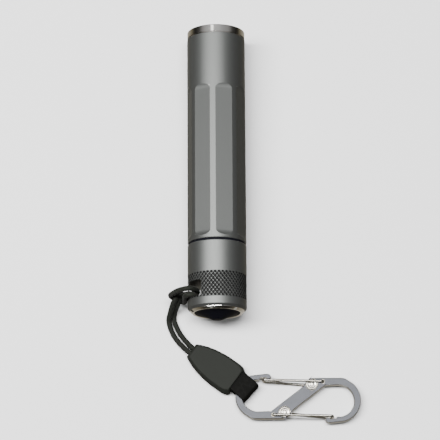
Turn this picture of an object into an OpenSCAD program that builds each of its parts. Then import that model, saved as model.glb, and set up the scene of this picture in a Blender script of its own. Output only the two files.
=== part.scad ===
// Keychain flashlight for one AAA cell, lying on its side, with a hitched lanyard and a double-gate clip.
// The torch's axis runs along Y with the lens at +Y, and the torch rests on the plane z = 0.

/* [Torch] */
// Outside diameter of the barrel and the tail cap
torch_d = 14.5; // [14.4:0.05:15]
// Place of the lens end along the axis
front_y = 37; // [37:0.1:38]
// Height of the polished bezel ring
bezel_h = 1.95; // [1.9:0.05:2]

/* [Flats] */
// Number of milled flats round the barrel
flat_count = 8; // [6:1:10]
// Depth of each flat below the barrel's surface
flat_depth = 0.32; // [0.2:0.01:0.4]
// Length of each flat between its scooped ends
flat_len = 36.1; // [30:0.1:37]
// Radius of the scooped ends
scoop_r = 3.1; // [2:0.1:4]

/* [Cell] */
// Diameter of the cell's can with its sleeve
cell_d = 10.5; // [10:0.1:10.5]
// Length of the cell from its base to the top of its nub
cell_len = 44.5; // [44.2:0.1:44.5]

/* [Tail] */
// Travel of the button
button_travel = 0.8; // [0.4:0.1:0.8]
// Diameter of the plunger that links the boot to the switch
plunger_d = 4; // [3:0.1:4.2]
// Width of the lanyard slot across the axis
slot_w = 3; // [2.6:0.1:3]
// Length of the lanyard slot along the axis
slot_len = 4.1; // [3.8:0.1:4.1]

/* [Lanyard] */
// Diameter of the cord's solid
cord_d = 1.24; // [1:0.02:1.24]
// Length of the moulded tag
tag_len = 13.9; // [13.5:0.1:14]
// Width of the folded webbing
webbing_w = 5.5; // [5:0.1:5.6]

/* [Clip] */
// Thickness of the clip's plate
plate_t = 1.6; // [1.4:0.1:1.6]
// Diameter of the gate wire
wire_d = 0.66; // [0.5:0.02:0.66]

/* [Hidden] */
$fn = 96;

body_r = torch_d / 2;
gap = 0.03;                                // all-round gap between pieces that are fitted together
body_front = front_y - bezel_h - 0.05;

// Flats: the place of their middle, and the first one's turn from straight up
flat_middle = 2.25;
flat_turn = 15.4;

// Head
lens_r = body_r - 0.9;
head_bore_r = lens_r + 0.05;
skirt_r = body_r - 0.45;
lens_front = front_y - 0.7;
lens_back = lens_front - 1.1;
seal_back = lens_back - 0.6;
reflector_len = 6;
reflector_back = seal_back - reflector_len;
board_top = reflector_back - 0.9;
board_bottom = board_top - 0.8;
pill_back = board_bottom - 2.85;
pill_top_t = 1.2;
pill_cup_r = 5.2;
driver_back = pill_back + 0.25;
driver_t = 0.8;
wire_hole_x = 4.4;
wire_hole_r = 0.55;

// Reflector: a parabola from its rim to the hole for the emitter
rim_r = 5.7;
hole_r = 2.6;
dish_4f = (rim_r * rim_r - hole_r * hole_r) / reflector_len;
dish_steps = 16;

// Cell and its bore
cell_bore_r = cell_d / 2 + 0.15;
cell_front = pill_back - 0.6;
cell_back = cell_front - cell_len;
nub_h = 1.05;
nub_r = 1.9;

// Joint of the barrel and the tail cap
seam_y = -17.95;
seal_w = 0.45;
cap_front = seam_y - seal_w - 0.05;
neck_r = 6.2;
neck_back = -23.2;
thread_pitch = 0.75;
thread_turns = 4;
thread_front = -20.2;
crest_r = neck_r + 0.15;
cap_bore_r = crest_r + 0.07;

// Tail cap, from its mouth to the tail
cavity_front = -23.45;
cavity_back = -26.4;
cavity_r = 5.9;
retainer_t = 0.5;
switch_board_t = 0.65;
switch_board_front = cavity_front - retainer_t - gap;
housing_front = switch_board_front - switch_board_t;
tact_h = 1.5;
stem_back = housing_front - tact_h - button_travel - 0.08;
knurl_front = -26.15;
knurl_back = -32.6;
knurl_depth = 0.08;
tail_chamfer_y = -34.35;
cap_back = -34.85;
cap_back_r = 6.75;
rear_cavity_front = -33;
tail_y = -35.45;
tip_y = -37;
ring_in_r = 5;
lip_front = tail_y + 0.7;
boot_r = ring_in_r - 0.15;
tip_r = 1.3;
plunger_back = -35.6;
flange_front = rear_cavity_front - button_travel - 0.2;
slot_out_x = -6.9;
slot_front_y = -28.1;

// Lanyard: the tag's narrow end, its heading, and the webbing's heading
tag_at = [-6.45, -43.33];
tag_turn = -36.5;
tag_thin_h = 2.6;
tag_thick_h = 3.3;
webbing_at = [5.09, -51.5];
webbing_turn = -42.1;
webbing_end = 4.4;
webbing_t = 0.55;
cord_sides = 8;
// The cord's route: from the tag up to the slot, round the bar, through its own bight and back to the tag
cord_route = [
  [-2.8, -45.2, 1.3], [-4.4, -44, 1.3], [-6.1, -42.8, 1.3], [-7.7, -41.1, 0.8], [-9.2, -39.1, 0.7],
  [-10.3, -36.9, 0.7], [-10.7, -35.44, 0.7], [-10.5, -33.73, 1.3], [-9.9, -32.55, 2.9],
  [-9.3, -31.15, 4], [-8.3, -29.95, 3.9], [-7.3, -29.45, 3], [-6.4, -29.35, 2.6],
  [-5.6, -29.35, 3.1], [-5.1, -29.65, 4.3], [-4.9, -29.75, 6.3], [-5, -29.85, 8.5],
  [-5.7, -29.95, 10.2], [-6.6, -29.95, 11.1], [-7.8, -30.05, 11.1], [-9.4, -30.15, 9.8],
  [-10.7, -30.25, 7.6], [-11.5, -30.35, 5.2], [-10.7, -30.65, 3.1], [-9.4, -31.15, 2.2],
  [-8.2, -31.55, 3.1], [-7.9, -31.65, 5.4], [-7.9, -31.65, 7.9], [-7.7, -31.55, 9.7],
  [-6.8, -31.45, 10.6], [-5.8, -31.45, 10.2], [-5.2, -31.45, 8.7], [-5.1, -31.35, 6.2],
  [-5.5, -31.05, 3.8], [-6.4, -30.75, 2.1], [-7.5, -30.15, 1.6], [-8.5, -29.45, 2.2],
  [-9.3, -29.25, 3.3], [-9.8, -29.75, 4.5], [-10.2, -31.05, 5], [-11, -32.38, 4.1],
  [-11.7, -34.36, 2.4], [-12, -35.8, 1.2], [-11.5, -37.9, 0.7], [-10.4, -40.1, 0.7],
  [-8.7, -42.2, 0.8], [-6.9, -43.9, 1.3], [-5.2, -45.1, 1.3], [-3.6, -46.3, 1.3]
];

// Clip: its middle, and the heights of its plate and wires
clip_at = [19.6, -55.6];
plate_z = 0.8;
plate_top = plate_z + plate_t;
wire_r = wire_d / 2;
back_wire_z = plate_z - gap - wire_r;
front_wire_z = plate_top + gap + wire_r;
gate_pivot = [6.1, 4.1];
gate_anchor = [3.35, 3.45];
gate_tip = [-8.45, 4.5];
back_leg_end = [2.6, 3.52];
pivot_hole_r = wire_r + 0.06;

// ---- Helpers ----

// A solid turned about the torch's axis: each point is [radius, place along Y]
module turned(profile) {
  translate([0, 0, body_r]) rotate([-90, 0, 0]) rotate_extrude() polygon(profile);
}

// A ring from radius r0 to r1, between y0 and y1
module ring(r0, r1, y0, y1) {
  turned([[r0, y0], [r1, y0], [r1, y1], [r0, y1]]);
}

// Children modelled about the Z axis, laid along the torch's axis with z = 0 at place y
module along(y) {
  translate([0, y, body_r]) rotate([-90, 0, 0]) children();
}

// Children modelled along X with their middle line on y = 0, laid on the plane from a point at a heading
module laid(at, turn) {
  translate([at[0], at[1], 0]) rotate([0, 0, turn]) children();
}

// A side profile of [distance, height] points, spread evenly across a width
module across(profile, width) {
  translate([0, width / 2, 0]) rotate([90, 0, 0]) linear_extrude(height = width) polygon(profile);
}

function unit(v) = v / norm(v);
function arc(c, r, a0, a1, n) =
  [for (i = [0 : n]) let (a = a0 + (a1 - a0) * i / n) c + r * [cos(a), sin(a)]];
function tangents(p) =
  [for (i = [0 : len(p) - 1]) unit(p[min(i + 1, len(p) - 1)] - p[max(i - 1, 0)])];
function carried(t, n, i = 0) =
  let (m = unit(n - (n * t[i]) * t[i]))
  i == len(t) - 1 ? [m] : concat([m], carried(t, m, i + 1));

// A round tube swept along a list of points
module tube(points, r, sides) {
  t = tangents(points);
  n = carried(t, cross(t[0], [0.1, 0.2, 1]));
  last = len(points) - 1;
  rings = [for (i = [0 : last]) for (k = [0 : sides - 1])
    let (a = 360 * k / sides) points[i] + r * (cos(a) * n[i] + sin(a) * cross(t[i], n[i]))];
  walls = [for (i = [0 : last - 1]) for (k = [0 : sides - 1])
    let (a = i * sides + k, b = i * sides + (k + 1) % sides)
    each [[a, a + sides, b], [b, a + sides, b + sides]]];
  ends = [[for (k = [0 : sides - 1]) k], [for (k = [0 : sides - 1]) last * sides + sides - 1 - k]];
  polyhedron(points = rings, faces = concat(walls, ends), convexity = 8);
}

// A straight round wire between two points
module wire(p, q, r) {
  v = q - p;
  translate(p) rotate([0, acos(v[2] / norm(v)), atan2(v[1], v[0])]) cylinder(h = norm(v), r = r, $fn = 32);
}

// ---- Head and barrel ----

module flat_cutters() {
  face = body_r - flat_depth;
  for (i = [0 : flat_count - 1])
    translate([0, flat_middle, body_r]) rotate([0, flat_turn + 360 * i / flat_count, 0]) {
      translate([-body_r, -flat_len / 2, face]) cube([torch_d, flat_len, 2 * scoop_r]);
      for (side = [-1, 1])
        translate([-body_r, side * flat_len / 2, face + scoop_r])
          rotate([0, 90, 0]) cylinder(h = torch_d, r = scoop_r);
    }
}

module thread_crests() {
  for (i = [0 : thread_turns - 1]) {
    y = thread_front - i * thread_pitch;
    turned([[neck_r - 0.3, y - 0.28], [crest_r, y - 0.1], [crest_r, y + 0.1], [neck_r - 0.3, y + 0.28]]);
  }
}

module barrel() color("dimgray") {
  difference() {
    turned([
      [cell_bore_r, neck_back], [neck_r - 0.2, neck_back], [neck_r, neck_back + 0.2], [neck_r, seam_y],
      [body_r - 0.2, seam_y], [body_r, seam_y + 0.2], [body_r, body_front - 0.15],
      [body_r - 0.15, body_front], [skirt_r, body_front], [skirt_r, body_front - 1.8],
      [head_bore_r, body_front - 1.8], [head_bore_r, pill_back - 0.05], [cell_bore_r, pill_back - 0.05]
    ]);
    flat_cutters();
  }
  thread_crests();
}

module bezel_ring() color("silver") turned([
  [head_bore_r, body_front - 1.75], [skirt_r - gap, body_front - 1.75], [skirt_r - gap, body_front + 0.05],
  [body_r - 0.15, body_front + 0.05], [body_r - 0.05, body_front + 0.15], [body_r - 0.05, front_y - 0.25],
  [body_r - 0.3, front_y], [lens_r - 0.25, front_y], [lens_r - 0.45, front_y - 0.3],
  [lens_r - 0.45, lens_front], [head_bore_r, lens_front]
]);

module front_lens() color("lightcyan", 0.5) ring(0, lens_r, lens_back, lens_front);

module lens_seal() color("black") turned([
  [rim_r + 0.1, seal_back], [lens_r - 0.05, seal_back], [lens_r, seal_back + 0.15],
  [lens_r, lens_back - 0.15], [lens_r - 0.05, lens_back], [rim_r + 0.1, lens_back]
]);

module reflector() color("whitesmoke") turned(concat(
  [for (i = [0 : dish_steps])
    let (y = reflector_len * i / dish_steps) [sqrt(hole_r * hole_r + dish_4f * y), reflector_back + y]],
  [[lens_r, seal_back], [lens_r, seal_back - 0.7], [rim_r, seal_back - 0.7],
   [hole_r + 1.6, reflector_back + 0.6], [hole_r + 1.6, reflector_back]]
));

module led_emitter() color("gold") {
  package = 3.4;
  along(board_top) {
    translate([-package / 2, -package / 2, 0]) cube([package, package, 0.65]);
    translate([0, 0, 0.6]) cylinder(h = 0.1, r = 1.5);
    intersection() {
      translate([0, 0, 0.5]) sphere(r = 1.35);
      translate([0, 0, 0.65]) cylinder(h = 3, r = 2);
    }
  }
}

module led_isolator() color("white") ring(hole_r - 0.1, hole_r + 1.3, board_top, reflector_back);

module led_board() color("white") difference() {
  ring(0, lens_r - 0.75, board_bottom, board_top);
  wire_holes(board_bottom - 1, 3);
}

module wire_holes(y, h) {
  for (side = [-1, 1])
    along(y) translate([side * wire_hole_x, 0, 0]) cylinder(h = h, r = wire_hole_r);
}

module light_engine_pill() color("goldenrod") difference() {
  turned([
    [0, board_bottom - pill_top_t], [pill_cup_r, board_bottom - pill_top_t], [pill_cup_r, pill_back],
    [head_bore_r - gap, pill_back], [head_bore_r - gap, board_bottom], [0, board_bottom]
  ]);
  wire_holes(board_bottom - pill_top_t - 1, pill_top_t + 2);
}

module driver_board() color("seagreen") ring(0, pill_cup_r - gap, driver_back, driver_back + driver_t);

module driver_parts() color("black") {
  chips = [[-2.6, -1.6, 2.2, 1.8], [0.6, -2.4, 2.6, 2], [-1.2, 1, 1.6, 1.4], [1.6, 0.8, 1.2, 0.8]];
  for (c = chips)
    along(driver_back + driver_t) translate([c[0], c[1], 0]) cube([c[2], c[3], 0.5]);
}

module led_wires() color("firebrick") {
  for (side = [-1, 1])
    along(driver_back + driver_t)
      translate([side * wire_hole_x, 0, 0])
        cylinder(h = board_top + 0.3 - driver_back - driver_t, r = 0.35);
}

module front_contact() color("gold") turned([
  [0, cell_front + 0.05], [1.2, cell_front + 0.05], [1.6, cell_front + 0.2], [1.6, driver_back],
      [0, driver_back]
]);

module contact_insulator() color("darkslategray")
  ring(nub_r + 0.5, pill_cup_r - 0.1, cell_front - 0.15, driver_back);

module body_seal() color("black") turned([
  [neck_r, seam_y - seal_w + 0.1], [neck_r + 0.1, seam_y - seal_w], [body_r - 0.35, seam_y - seal_w],
  [body_r - 0.25, seam_y - seal_w + 0.12], [body_r - 0.25, seam_y - 0.12], [body_r - 0.35, seam_y],
  [neck_r, seam_y]
]);

// ---- Cell ----

module cell_can() color("silver") ring(0, cell_d / 2 - 0.15, cell_back, cell_front - nub_h);

module cell_sleeve() color("slategray")
  ring(cell_d / 2 - 0.15, cell_d / 2, cell_back + 0.4, cell_front - nub_h - 0.4);

module cell_nub() color("lightgray") turned([
  [0, cell_front - nub_h], [nub_r, cell_front - nub_h], [nub_r, cell_front - 0.2],
  [nub_r - 0.2, cell_front], [0, cell_front]
]);

module cell_gasket() color("white")
  ring(nub_r + 0.5, cell_d / 2 - 0.6, cell_front - nub_h, cell_front - nub_h + 0.2);

// ---- Tail ----

module lanyard_slot() {
  corner_r = 0.6;
  translate([slot_out_x, slot_front_y - slot_len, -1]) linear_extrude(height = torch_d + 2) {
    translate([corner_r, 0]) square([slot_w - 2 * corner_r, slot_len]);
    translate([0, corner_r]) square([slot_w, slot_len - 2 * corner_r]);
    for (x = [corner_r, slot_w - corner_r]) for (y = [corner_r, slot_len - corner_r])
      translate([x, y]) circle(r = corner_r, $fn = 32);
  }
}

module tail_cap() color("dimgray") difference() {
  turned([
    [cap_bore_r, cap_front], [body_r - 0.2, cap_front], [body_r, cap_front - 0.2],
    [body_r, knurl_front], [body_r - knurl_depth, knurl_front - knurl_depth],
    [body_r - knurl_depth, knurl_back + knurl_depth], [body_r, knurl_back],
    [body_r, tail_chamfer_y], [cap_back_r, cap_back], [cap_back_r - 0.6, cap_back],
    [cap_back_r - 0.6, rear_cavity_front], [plunger_d / 2 + 0.3, rear_cavity_front],
    [plunger_d / 2 + 0.3, cavity_back], [cavity_r, cavity_back], [cavity_r, cavity_front],
        [cap_bore_r, cavity_front]
  ]);
  for (i = [0 : thread_turns - 1]) {
    y = thread_front + 0.3 - i * thread_pitch;
    turned([[cap_bore_r - 0.1, y - 0.3], [cap_bore_r + 0.3, y - 0.1], [cap_bore_r + 0.3, y + 0.1],
      [cap_bore_r - 0.1, y + 0.3]]);
  }
  lanyard_slot();
}

module tail_ring() color("silver") turned([
  [ring_in_r, tail_y], [6.05, tail_y], [cap_back_r - 0.15, cap_back - 0.15],
      [cap_back_r - 0.05, cap_back - 0.02],
  [cap_back_r - 0.6 - gap, cap_back - 0.02], [cap_back_r - 0.6 - gap, rear_cavity_front - 0.1],
  [ring_in_r + 0.6, rear_cavity_front - 0.1], [ring_in_r + 0.6, lip_front], [ring_in_r, lip_front]
]);

module tail_spring() color("gold") {
  turns = 3;
  steps = 18 * turns;
  spring_wire_r = 0.22;
  base_y = switch_board_front + spring_wire_r + gap;
  top_y = cell_back - spring_wire_r - 0.05;
  tube([for (i = [0 : steps])
    let (a = 360 * turns * i / steps, r = 3.4 - 1.2 * i / steps)
    [r * cos(a), base_y + (top_y - base_y) * i / steps, body_r + r * sin(a)]], spring_wire_r, 6);
}

module switch_retainer() color("goldenrod")
  ring(4.6, cavity_r - gap, cavity_front - retainer_t, cavity_front);

module switch_board() color("seagreen")
  ring(0, cavity_r - gap, housing_front + 0.01, switch_board_front);

module switch_housing() color("darkslategray") {
  difference() {
    ring(0, cavity_r - gap, cavity_back + 0.02, housing_front);
    along(cavity_back - 1) translate([-2.6, -2.6, 0]) cube([5.2, 5.2, 5]);
  }
}

module tact_switch() color("lightgray") difference() {
  along(housing_front - tact_h) translate([-2.5, -2.5, 0]) cube([5, 5, tact_h]);
  ring(0, 1.8, housing_front - tact_h - 0.5, housing_front + 0.5);
}

module switch_stem() color("black") ring(0, 1.7, stem_back, housing_front - button_travel - 0.1);

module switch_plunger() color("ivory") turned([
  [0, plunger_back], [3.3, plunger_back], [3.3, flange_front], [plunger_d / 2, flange_front],
  [plunger_d / 2, stem_back], [0, stem_back]
]);

module button_boot() color("black") turned([
  [0, tip_y], [tip_r, tip_y], [boot_r, tail_y + 0.05], [boot_r, lip_front + 0.03],
      [ring_in_r + 0.5, lip_front + 0.03],
  [ring_in_r + 0.5, lip_front + 0.5], [3.35, lip_front + 0.5], [3.35, plunger_back], [0, plunger_back]
]);

// ---- Lanyard ----

module lanyard_cord() color("darkslategray") tube(cord_route, cord_d / 2, cord_sides);

module cord_crimp() color("goldenrod") laid(tag_at, tag_turn) difference() {
  translate([2.7, -1.45, 0.5]) cube([2, 2.9, 1.6]);
  for (side = [-1, 1])
    translate([2, side * 0.68, 1.3]) rotate([0, 90, 0]) cylinder(h = 4, r = 0.7);
}

module tag_outline() {
  half_widths = [
    [0, 1.85], [0.3, 2.1], [2.5, 3.05], [5, 3.7], [7.5, 4.05], [10, 4.15], [12.6, 4.05], [tag_len, 3.35]
  ];
  last = len(half_widths) - 1;
  polygon(concat(half_widths, [for (i = [0 : last]) [half_widths[last - i][0],
      -half_widths[last - i][1]]]));
}

module tag_sleeve() color("darkslategray") difference() {
  laid(tag_at, tag_turn) difference() {
    intersection() {
      linear_extrude(height = 4) tag_outline();
      across([[0, 0], [tag_len, 0], [tag_len, tag_thick_h], [0, tag_thin_h]], 12);
    }
    translate([-1, -1.5, 0.45]) cube([7, 3, 1.7]);
  }
  laid(webbing_at, webbing_turn)
    across([
      [-4.7, 0.95], [-1.9, 0.95], [-0.5, 0.15], [1, 0.15],
      [1, 3.05], [-0.5, 3.05], [-1.9, 2.25], [-4.7, 2.25]
    ], webbing_w + 0.3);
}

module webbing_loop() color("black") laid(webbing_at, webbing_turn) {
  low = 0.2;
  high = 3;
  difference() {
    across(concat(
      [[-4.5, 1.02], [-1.9, 1.02], [-0.4, low]],
      arc([webbing_end - 0.7, low + 0.7], 0.7, 270, 360, 4),
      arc([webbing_end - 0.7, high - 0.7], 0.7, 0, 90, 4),
      [[-0.4, high], [-1.9, 2.18], [-4.5, 2.18]]), webbing_w);
    across([[-1.3, 1.6], [0, low + webbing_t], [webbing_end - webbing_t, low + webbing_t],
      [webbing_end - webbing_t, high - webbing_t], [0, high - webbing_t]], webbing_w + 1);
  }
}

// ---- Clip ----

// Half of the plate's outline; the other half is the same, turned half a turn
plate_half = concat(
  [[1.24, 2.9], [1.62, 3.5], [2.1, 4.1], [2.6, 4.6], [3.2, 4.92], [3.8, 5.04], [10.5, 5.04],
      [11.1, 4.98], [11.7, 4.78]],
  arc([9.9, -0.5], 5.42, 62, -76, 32),
  [[7.6, -6.15], [6.9, -6], [6.5, -5.4], [6.75, -4.85], [7.5, -4.75], [7.75, -5.1], [9.15, -5.1],
      [9.35, -4.62]],
  arc([9.75, -0.7], 3.95, -80, 88, 32),
  [[7.4, 3.15], [6.7, 3.2]]
);

// Children placed twice, the second turned half a turn about the clip's middle
module both_ends() {
  for (turn = [0, 180])
    translate([clip_at[0], clip_at[1], 0]) rotate([0, 0, turn]) children();
}

module clip_frame() color("lightslategray") difference() {
  translate([clip_at[0], clip_at[1], plate_z])
    linear_extrude(height = plate_t) polygon(concat(plate_half, [for (p = plate_half) -p]));
  both_ends() {
    translate([gate_pivot[0], gate_pivot[1], 0]) cylinder(h = 5, r = pivot_hole_r, $fn = 32);
    translate([gate_anchor[0], gate_anchor[1], 0]) cylinder(h = 5, r = 0.64, $fn = 32);
    translate([gate_anchor[0], gate_anchor[1], plate_top - 0.25]) cylinder(h = 1, r = 1.36);
  }
}

module gate_eyelets() color("silver") both_ends()
  translate([gate_anchor[0], gate_anchor[1], 0]) difference() {
    union() {
      translate([0, 0, plate_z]) cylinder(h = plate_t - 0.24, r = 0.61, $fn = 32);
      translate([0, 0, plate_top - 0.24]) cylinder(h = 0.25, r = 1.33);
    }
    cylinder(h = 5, r = wire_r + 0.03, $fn = 32);
  }

module gate_pins() color("silver") both_ends()
  translate([gate_anchor[0], gate_anchor[1], back_wire_z - wire_r])
    cylinder(h = plate_top - back_wire_z + wire_r - 0.05, r = wire_r, $fn = 32);

// One wire gate: its front leg from the pivot to the tip, its tip, and its back leg
module gate() {
  pivot = [gate_pivot[0], gate_pivot[1], front_wire_z];
  front_tip = [gate_tip[0], gate_tip[1], front_wire_z];
  back_tip = [gate_tip[0], gate_tip[1], back_wire_z];
  wire([pivot[0], pivot[1], plate_z + plate_t / 2], pivot, wire_r);
  wire(pivot, front_tip, wire_r);
  wire(back_tip, front_tip, wire_r);
  wire(back_tip, [back_leg_end[0], back_leg_end[1], back_wire_z], wire_r);
  for (p = [pivot, front_tip, back_tip])
    translate(p) sphere(r = wire_r, $fn = 32);
}

module gate_upper() color("silver") translate([clip_at[0], clip_at[1], 0]) gate();

module gate_lower() color("silver") translate([clip_at[0], clip_at[1], 0]) rotate([0, 0, 180]) gate();

barrel();
bezel_ring();
front_lens();
lens_seal();
reflector();
led_emitter();
led_isolator();
led_board();
light_engine_pill();
driver_board();
driver_parts();
led_wires();
front_contact();
contact_insulator();
body_seal();
cell_can();
cell_sleeve();
cell_nub();
cell_gasket();
tail_cap();
tail_ring();
tail_spring();
switch_retainer();
switch_board();
switch_housing();
tact_switch();
switch_stem();
switch_plunger();
button_boot();
lanyard_cord();
cord_crimp();
tag_sleeve();
webbing_loop();
clip_frame();
gate_eyelets();
gate_pins();
gate_upper();
gate_lower();
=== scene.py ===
"""Looks of the keychain flashlight: torch, hitched lanyard, moulded tag, webbing and double-gate clip."""

import logging
import math
from dataclasses import dataclass, field
from enum import Enum
from functools import cache
from typing import Callable, Iterable, Sequence

import bmesh
import bpy
import numpy as np
from mathutils import Matrix, Vector


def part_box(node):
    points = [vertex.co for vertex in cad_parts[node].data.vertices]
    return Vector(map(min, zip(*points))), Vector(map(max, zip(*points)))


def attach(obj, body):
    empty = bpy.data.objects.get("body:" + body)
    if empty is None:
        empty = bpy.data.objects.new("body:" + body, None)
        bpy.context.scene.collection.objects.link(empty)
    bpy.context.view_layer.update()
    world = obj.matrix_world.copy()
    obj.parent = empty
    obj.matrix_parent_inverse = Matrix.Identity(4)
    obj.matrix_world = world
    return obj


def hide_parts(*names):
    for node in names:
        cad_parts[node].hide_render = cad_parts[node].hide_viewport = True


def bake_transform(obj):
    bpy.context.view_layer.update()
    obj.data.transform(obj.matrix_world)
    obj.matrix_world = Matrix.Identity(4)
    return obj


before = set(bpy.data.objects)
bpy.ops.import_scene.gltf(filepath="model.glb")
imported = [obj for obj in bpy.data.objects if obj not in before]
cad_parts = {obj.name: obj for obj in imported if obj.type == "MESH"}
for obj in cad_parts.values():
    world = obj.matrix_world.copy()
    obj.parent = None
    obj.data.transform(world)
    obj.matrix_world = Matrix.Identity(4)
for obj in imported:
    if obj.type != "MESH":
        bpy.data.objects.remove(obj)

LOG = logging.getLogger("flashlight")
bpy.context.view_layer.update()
MM = 0.001
Point = tuple[float, float, float]
Profile = list[tuple[float, float]]


class Body(Enum):
    """The rigid bodies that pieces ride on."""

    TAIL = "tail"
    BARREL = "barrel"
    CELL = "cell"
    BUTTON = "button"
    TAG = "tag"
    CLIP = "clip"
    UPPER_GATE = "upper_gate"
    LOWER_GATE = "lower_gate"


# ---------------------------------------------------------------- shader maths


class Val:
    """A number in a shader graph: an expression on it adds the Math nodes that work it out."""

    def __init__(self, graph: "Graph", socket: bpy.types.NodeSocket) -> None:
        """Wraps an output socket of a graph.

        Args:
            graph: The graph that the socket belongs to.
            socket: The output socket.
        """
        self.graph = graph
        self.socket = socket

    def math(self, operation: str, *others: "Val | float") -> "Val":
        """This value put through a Math node.

        Args:
            operation: The node's operation.
            others: Its second and third inputs.

        Returns:
            The node's result.
        """
        return self.graph.math(operation, self, *others)

    def __add__(self, other: "Val | float") -> "Val":
        """The sum."""
        return self.math("ADD", other)

    def __radd__(self, other: float) -> "Val":
        """The sum, reflected."""
        return self.graph.math("ADD", other, self)

    def __sub__(self, other: "Val | float") -> "Val":
        """The difference."""
        return self.math("SUBTRACT", other)

    def __rsub__(self, other: float) -> "Val":
        """The difference, reflected."""
        return self.graph.math("SUBTRACT", other, self)

    def __mul__(self, other: "Val | float") -> "Val":
        """The product."""
        return self.math("MULTIPLY", other)

    def __rmul__(self, other: float) -> "Val":
        """The product, reflected."""
        return self.graph.math("MULTIPLY", other, self)

    def __truediv__(self, other: "Val | float") -> "Val":
        """The quotient."""
        return self.math("DIVIDE", other)

    def __pow__(self, other: "Val | float") -> "Val":
        """The power."""
        return self.math("POWER", other)

    def smooth(self, low: float, high: float) -> "Val":
        """A smooth step from 0 at low to 1 at high.

        Args:
            low: The value where the step starts.
            high: The value where it ends.

        Returns:
            The step, from 0 to 1.
        """
        inputs = {"Value": self, "From Min": low, "From Max": high}
        made = self.graph.node("ShaderNodeMapRange", {"interpolation_type": "SMOOTHSTEP"}, inputs)
        return Val(self.graph, made.outputs[0])


class Graph:
    """The node tree of one material or of the world, with one shader at its end."""

    def __init__(self, name: str, world: bool = False) -> None:
        """Makes a tree with only its shader and output.

        Args:
            name: The material's or world's name.
            world: Whether it is a world, which has a Background shader, and not a Principled one.
        """
        self.owner = (bpy.data.worlds if world else bpy.data.materials).new(name)
        self.owner.use_nodes = True
        self.tree = self.owner.node_tree
        self.tree.nodes.clear()
        self.shader = self.node("ShaderNodeBackground" if world else "ShaderNodeBsdfPrincipled", {}, {})
        kind = "ShaderNodeOutputWorld" if world else "ShaderNodeOutputMaterial"
        self.node(kind, {}, {"Surface": self.shader.outputs[0]})

    def node(self, kind: str, settings: dict, inputs: dict) -> bpy.types.Node:
        """Adds any node.

        Args:
            kind: The node's type.
            settings: Its own properties, which are set first; "stops" fills a colour ramp.
            inputs: Values or links of its sockets, by name or number.

        Returns:
            The new node.
        """
        made = self.tree.nodes.new(kind)
        for key, value in settings.items():
            if key == "stops":
                self.fill_ramp(made.color_ramp, value)
            else:
                setattr(made, key, value)
        for key, value in inputs.items():
            self.feed(made.inputs[key], value)
        return made

    @staticmethod
    def fill_ramp(ramp: bpy.types.ColorRamp, stops: Sequence[tuple[float, Sequence[float]]]) -> None:
        """Sets a ramp's stops.

        Args:
            ramp: The colour ramp.
            stops: Pairs of place and linear colour.
        """
        while len(ramp.elements) < len(stops):
            ramp.elements.new(0.5)
        for element, (place, colour) in zip(ramp.elements, stops):
            element.position = place
            element.color = (*colour, 1.0)

    def feed(self, socket: bpy.types.NodeSocket, value: object) -> None:
        """Links or sets one input socket.

        Args:
            socket: The input.
            value: A Val, a socket, a number or a colour.
        """
        if isinstance(value, Val):
            self.tree.links.new(value.socket, socket)
        elif isinstance(value, bpy.types.NodeSocket):
            self.tree.links.new(value, socket)
        elif isinstance(value, (tuple, list)) and len(value) == 3 and len(socket.default_value) == 4:
            socket.default_value = (*value, 1.0)
        else:
            socket.default_value = value

    def math(self, operation: str, *values: Val | float) -> Val:
        """Adds a Math node.

        Args:
            operation: The node's operation.
            values: Its inputs.

        Returns:
            The node's result.
        """
        made = self.node("ShaderNodeMath", {"operation": operation}, dict(enumerate(values)))
        return Val(self, made.outputs[0])

    def place(self) -> tuple[bpy.types.NodeSocket, Val, Val, Val]:
        """The shaded point in the object's own metres.

        Returns:
            The vector socket and its three components.
        """
        coords = self.node("ShaderNodeTexCoord", {}, {}).outputs["Object"]
        parts = self.node("ShaderNodeSeparateXYZ", {}, {0: coords}).outputs
        return coords, Val(self, parts[0]), Val(self, parts[1]), Val(self, parts[2])

    @staticmethod
    def from_axis(x: Val, z: Val) -> Val:
        """The shaded point's distance from the torch's axis."""
        height = z - AXIS_Z
        return (x * x + height * height) ** 0.5

    def vector(self, x: Val | float, y: Val | float, z: Val | float) -> bpy.types.NodeSocket:
        """A vector of three values."""
        return self.node("ShaderNodeCombineXYZ", {}, {0: x, 1: y, 2: z}).outputs[0]

    def noise(
        self, where: bpy.types.NodeSocket, per_metre: float, detail: float = 2.0, rough: float = 0.5,
    ) -> Val:
        """Soft noise from 0 to 1.

        Args:
            where: The vector that it is looked up at.
            per_metre: Its features per metre.
            detail: Octaves of finer noise.
            rough: Strength of the finer octaves.

        Returns:
            The noise.
        """
        inputs = {"Vector": where, "Scale": per_metre, "Detail": detail, "Roughness": rough}
        return Val(self, self.node("ShaderNodeTexNoise", {}, inputs).outputs[0])

    def mix(self, share: Val | float, first: object, second: object) -> bpy.types.NodeSocket:
        """A colour between two colours.

        Args:
            share: The second colour's share.
            first: A linear colour or a colour socket.
            second: A linear colour or a colour socket.

        Returns:
            The mixed colour's socket.
        """
        made = self.node("ShaderNodeMix", {"data_type": "RGBA"}, {"Factor": share, 6: first, 7: second})
        return made.outputs[2]

    def bump(self, height: Val, depth: float, strength: float = 1.0) -> None:
        """Feeds the shader's Normal from a height.

        Args:
            height: The height, from 0 to 1.
            depth: What a height of 1 stands for, in metres.
            strength: The bump's strength.
        """
        inputs = {"Height": height, "Distance": depth, "Strength": strength}
        self.tree.links.new(self.node("ShaderNodeBump", {}, inputs).outputs[0], self.shader.inputs["Normal"])

    def set(self, **sockets: object) -> "Graph":
        """Sets the shader's own sockets; an underscore in a name stands for a space.

        Args:
            sockets: Values or links by socket name.

        Returns:
            This graph.
        """
        for name, value in sockets.items():
            self.feed(self.shader.inputs[name.replace("_", " ")], value)
        return self


# ---------------------------------------------------------------- finishes


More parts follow.
